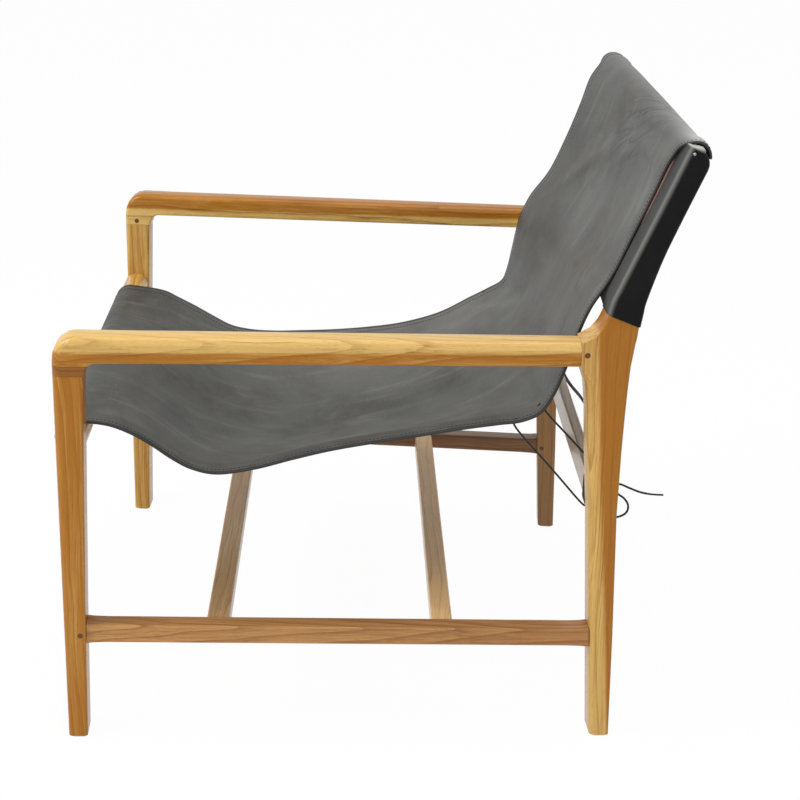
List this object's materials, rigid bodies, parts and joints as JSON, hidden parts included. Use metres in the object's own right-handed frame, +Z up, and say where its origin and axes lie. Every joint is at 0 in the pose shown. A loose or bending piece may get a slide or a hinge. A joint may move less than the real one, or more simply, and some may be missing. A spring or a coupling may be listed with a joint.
{
  "type": "leather sling lounge chair",
  "caption": "Low lounge chair: a tapering wooden frame with flat armrests carries one sheet of thick leather as seat and back, laced to the rear rail.",
  "frame": {"origin": "on the floor at the middle of the chair's bounding box", "axes": "+X to the sitter's left, +Y to the back of the chair, +Z up"},
  "size_m": [0.6492, 0.7314, 0.7303],
  "materials": {
    "frame_wood": "satin",
    "joint_wood": "satin",
    "sling_hide": "satin",
    "sleeve_hide": "satin",
    "cord_hide": "matte",
    "dark_metal": "satin"
  },
  "bodies": {
    "root": {"front_leg_left": "frame_wood", "arm_heel_left": "joint_wood", "armrest_left": "frame_wood", "back_leg_left": "frame_wood", "side_rail_left": "frame_wood", "arm_pin_left": "joint_wood", "heel_pin_left": "joint_wood", "rail_pin_front_left": "joint_wood", "rail_pin_rear_left": "joint_wood", "post_sleeve_left": "sleeve_hide", "sleeve_stud_left": "dark_metal", "front_leg_right": "frame_wood", "arm_heel_right": "joint_wood", "armrest_right": "frame_wood", "back_leg_right": "frame_wood", "side_rail_right": "frame_wood", "arm_pin_right": "joint_wood", "heel_pin_right": "joint_wood", "rail_pin_front_right": "joint_wood", "rail_pin_rear_right": "joint_wood", "post_sleeve_right": "sleeve_hide", "sleeve_stud_right": "dark_metal", "low_cross_rail_front": "frame_wood", "low_cross_rail_rear": "frame_wood", "front_seat_rail": "frame_wood", "rear_seat_rail": "frame_wood", "crest_rail": "frame_wood", "sling_leather": "sling_hide", "front_rail_tack_1": "dark_metal", "front_rail_tack_2": "dark_metal", "front_rail_tack_3": "dark_metal", "front_rail_tack_4": "dark_metal", "front_rail_tack_5": "dark_metal", "crest_rail_tack_1": "dark_metal", "crest_rail_tack_2": "dark_metal", "crest_rail_tack_3": "dark_metal", "crest_rail_tack_4": "dark_metal", "crest_rail_tack_5": "dark_metal", "lacing_cord_left": "cord_hide", "lacing_cord_right": "cord_hide", "lacing_wrap_left": "cord_hide", "lacing_wrap_right": "cord_hide", "lacing_tail": "cord_hide"}
  },
  "joints": []
}
